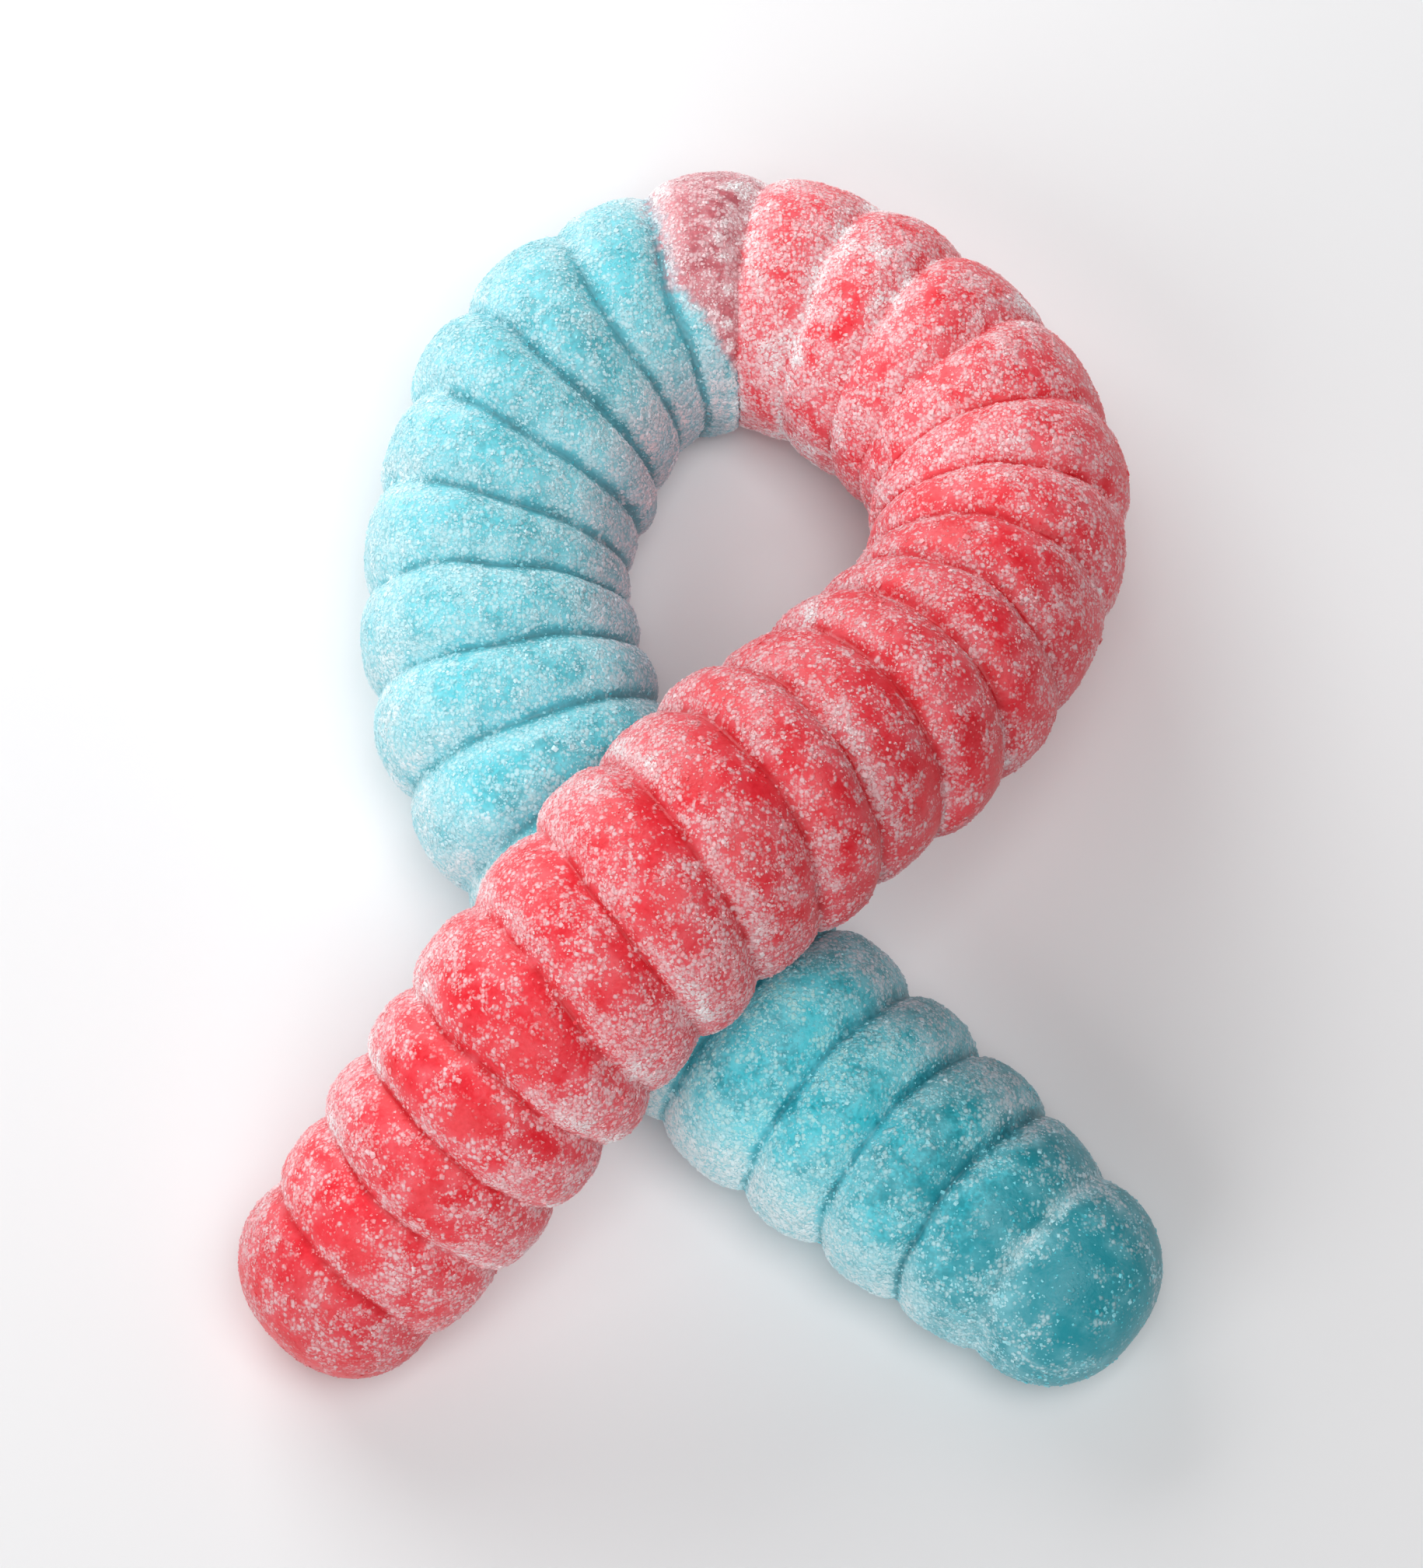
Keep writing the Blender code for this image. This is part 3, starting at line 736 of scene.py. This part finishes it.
def crystal_colours(draw, at, clumps):
    """Colour of each crystal: from the light tone of the jelly under it towards the tone of its sugar by
    the paleness, then towards white by the whiteness, which are normal draws, and times the painted
    light and shade kept at the jelly."""
    cover = at[:, COVER, None]
    red = smooth_step(at[:, RED_DEPTH, None], *CRYSTAL_RED_EDGE)
    mauve = smooth_step(at[:, MAUVE_DEPTH, None], *CRYSTAL_MAUVE_EDGE) * (1.0 - red)
    blue = 1.0 - red - mauve
    light, sugar_tone = (
        blue * JELLY_TONES["blue"][tone] + mauve * JELLY_TONES["mauve"][tone] + red * JELLY_TONES["red"][tone]
        for tone in (LIGHT_TONE, SUGAR_TONE)
    )
    lone, crowded = (start + slope * cover for start, slope in (LONE_PALENESS, CROWDED_PALENESS))
    pale = np.minimum(lone, crowded) + CLUMP_PALENESS * smooth_step(clumps, *CLUMP_RAMP)[:, None]
    paleness = np.clip(draw.normal(pale, PALENESS_SPREAD), 0.0, 1.0) * (1.0 - LESS_PALE_ON_BLUE * blue)
    thick = THICK_WHITENESS * smooth_step(cover, *THICK_WHITENESS_RAMP)
    whiteness = np.clip(draw.normal(WHITENESS * cover + thick + WHITENESS_START, WHITENESS_SPREAD), 0.0, 1.0)
    whiteness *= 1.0 - LESS_WHITE_ON_BLUE * blue
    colour = light + paleness * (sugar_tone - light)
    colour += whiteness * (CRYSTAL_WHITE - colour)
    # Painted light and shade of the jelly under each crystal
    return np.minimum(colour * at[:, PAINTED_LIGHT_AND_SHADE:], 1.0)


def crystal_piece(name, shape, count, size, spread, seed, start, power):
    """Joined crystals: each is the shape, stretched by its own three sizes, turned at random, flattened
    along the skin's normal, and set with its middle on the skin or a little proud of it."""
    corners, sides = shape
    at, normal = skin_points(count * CHOICE, start, power, seed)
    clumps = clouds(at[:, :3], [(strength, width, seed + k) for strength, width, k in CRYSTAL_CLUMPS])
    draw = np.random.default_rng(seed + SHAPE_SEED)
    chosen = np.argsort(-(clumps + CLUMP_LOOSENESS * draw.normal(size=len(at))))[:count]
    at, normal, clumps = at[chosen], normal[chosen], clumps[chosen]
    sizes = size * np.exp(spread * draw.normal(size=(count, 1))) * draw.uniform(*PROPORTIONS, (count, 3))
    sizes = np.minimum(sizes, LARGEST * size)
    turned = np.einsum("ijn,nkj->nki", random_turns(draw, count), corners[None] * sizes[:, None])
    turned -= (1.0 - FLATNESS) * np.einsum("nki,ni->nk", turned, normal)[..., None] * normal[:, None]
    proud = FLATNESS * sizes.mean(axis=1, keepdims=True) * draw.uniform(0.0, STANDING_PROUD, (count, 1))
    vertices = ((at[:, :3] + normal * proud)[:, None] + turned).reshape(-1, 3)
    vertices[:, 2] = np.maximum(vertices[:, 2], 0.0)
    faces = (sides[None] + len(corners) * np.arange(count)[:, None, None]).reshape(-1, sides.shape[1])
    piece = mesh_piece(name, vertices, faces, smooth=False)
    # Each crystal's colour holds the painted light and shade of the jelly under it
    keep_colours(piece, "tone_and_painted_light", np.repeat(crystal_colours(draw, at, clumps), len(corners), axis=0))
    return piece


def sugar_finish():
    """Glossy crystal faces over a white body, faintly dyed by the jelly below, with the jelly's painted light
    and shade.
    """
    shading = Shading("sugar_crystal", CRYSTAL_SURFACE)
    shading.join(shading.surface.inputs["Base Color"], shading.colour("tone_and_painted_light"))
    return shading.material


sugar = sugar_finish()
for name, kind in CRYSTALS.items():
    piece = crystal_piece(name, *kind)
    piece.data.materials.append(sugar)
    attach(piece, "root")

# The table: a wide, plain, pale sheet that the worm lies on, made as one square just under its lowest
# points. It is the stage and no part of the worm.
TABLE_HALF, TABLE_HEIGHT = 1500.0, -0.05
TABLE_SURFACE = {"Base Color": (0.90, 0.90, 0.91, 1.0), "Roughness": 0.8}
table_corners = np.array([
    (x * TABLE_HALF, y * TABLE_HALF, TABLE_HEIGHT) for x, y in ((-1, -1), (1, -1), (1, 1), (-1, 1))
])
table = mesh_piece("table", table_corners, np.array(((0, 1, 2, 3),)), smooth=False)
table.data.materials.append(Shading("pale_table", TABLE_SURFACE).material)

# The light: soft daylight from a near window and a further wall on the left, with a high lamp on the
# right and a faint even light from all round. Each lamp is a square: its place, width in m and watts.
LAMPS = {
    "window": ((-0.127, 0.196, 0.135), 0.22, 0.60),
    "wall": ((-0.4955, -0.4955, 0.385), 0.60, 2.95),
    "ceiling": ((0.142, -0.150, 0.773), 0.50, 3.0),
}
LAMP_AIM = (0.0, 0.0, 0.01)
ALL_ROUND_LIGHT = 0.06


def soft_light(name, place, width, watts):
    """Square lamp that faces from its place to the aim: tipped from straight down by the angle between
    the two, and turned about the vertical to their direction."""
    lamp = bpy.data.lights.new(name, "AREA")
    lamp.size, lamp.energy = width, watts
    light = bpy.data.objects.new(name, lamp)
    light.location = place
    back = np.subtract(place, LAMP_AIM)
    level = np.hypot(back[0], back[1])
    light.rotation_euler = (np.arctan2(level, back[2]), 0.0, np.arctan2(back[0], -back[1]))
    bpy.context.scene.collection.objects.link(light)


for name, (place, width, watts) in LAMPS.items():
    soft_light(name, place, width, watts)
world = bpy.data.worlds.new("studio")
world.use_nodes = True
world.node_tree.nodes["Background"].inputs["Color"].default_value = (1.0, 1.0, 1.0, 1.0)
world.node_tree.nodes["Background"].inputs["Strength"].default_value = ALL_ROUND_LIGHT
bpy.context.scene.world = world
bpy.context.scene.view_settings.view_transform = "Standard"

# The camera: above the open tails, looking down at 71 degrees through a long lens. At its aim, one
# pixel of the photograph's 2016 rows is 0.049 mm.
ELEVATION, DISTANCE, CAMERA_AIM = np.radians(71.0), 0.340, (0.0007, -0.0025, 0.008)
SENSOR_HEIGHT, MM_PER_PIXEL, PHOTO_ROWS, CLIP_START = 36.0, 0.049, 2016, 0.01
camera = bpy.data.objects.new("camera", bpy.data.cameras.new("camera"))
camera.location = (
    CAMERA_AIM[0],
    CAMERA_AIM[1] - DISTANCE * np.cos(ELEVATION),
    CAMERA_AIM[2] + DISTANCE * np.sin(ELEVATION),
)
camera.rotation_euler = (np.pi / 2 - ELEVATION, 0.0, 0.0)
camera.data.sensor_fit = "VERTICAL"
camera.data.sensor_height = SENSOR_HEIGHT
camera.data.lens = SENSOR_HEIGHT * (DISTANCE / MM / MM_PER_PIXEL) / PHOTO_ROWS
camera.data.clip_start = CLIP_START
bpy.context.scene.collection.objects.link(camera)
bpy.context.scene.camera = camera
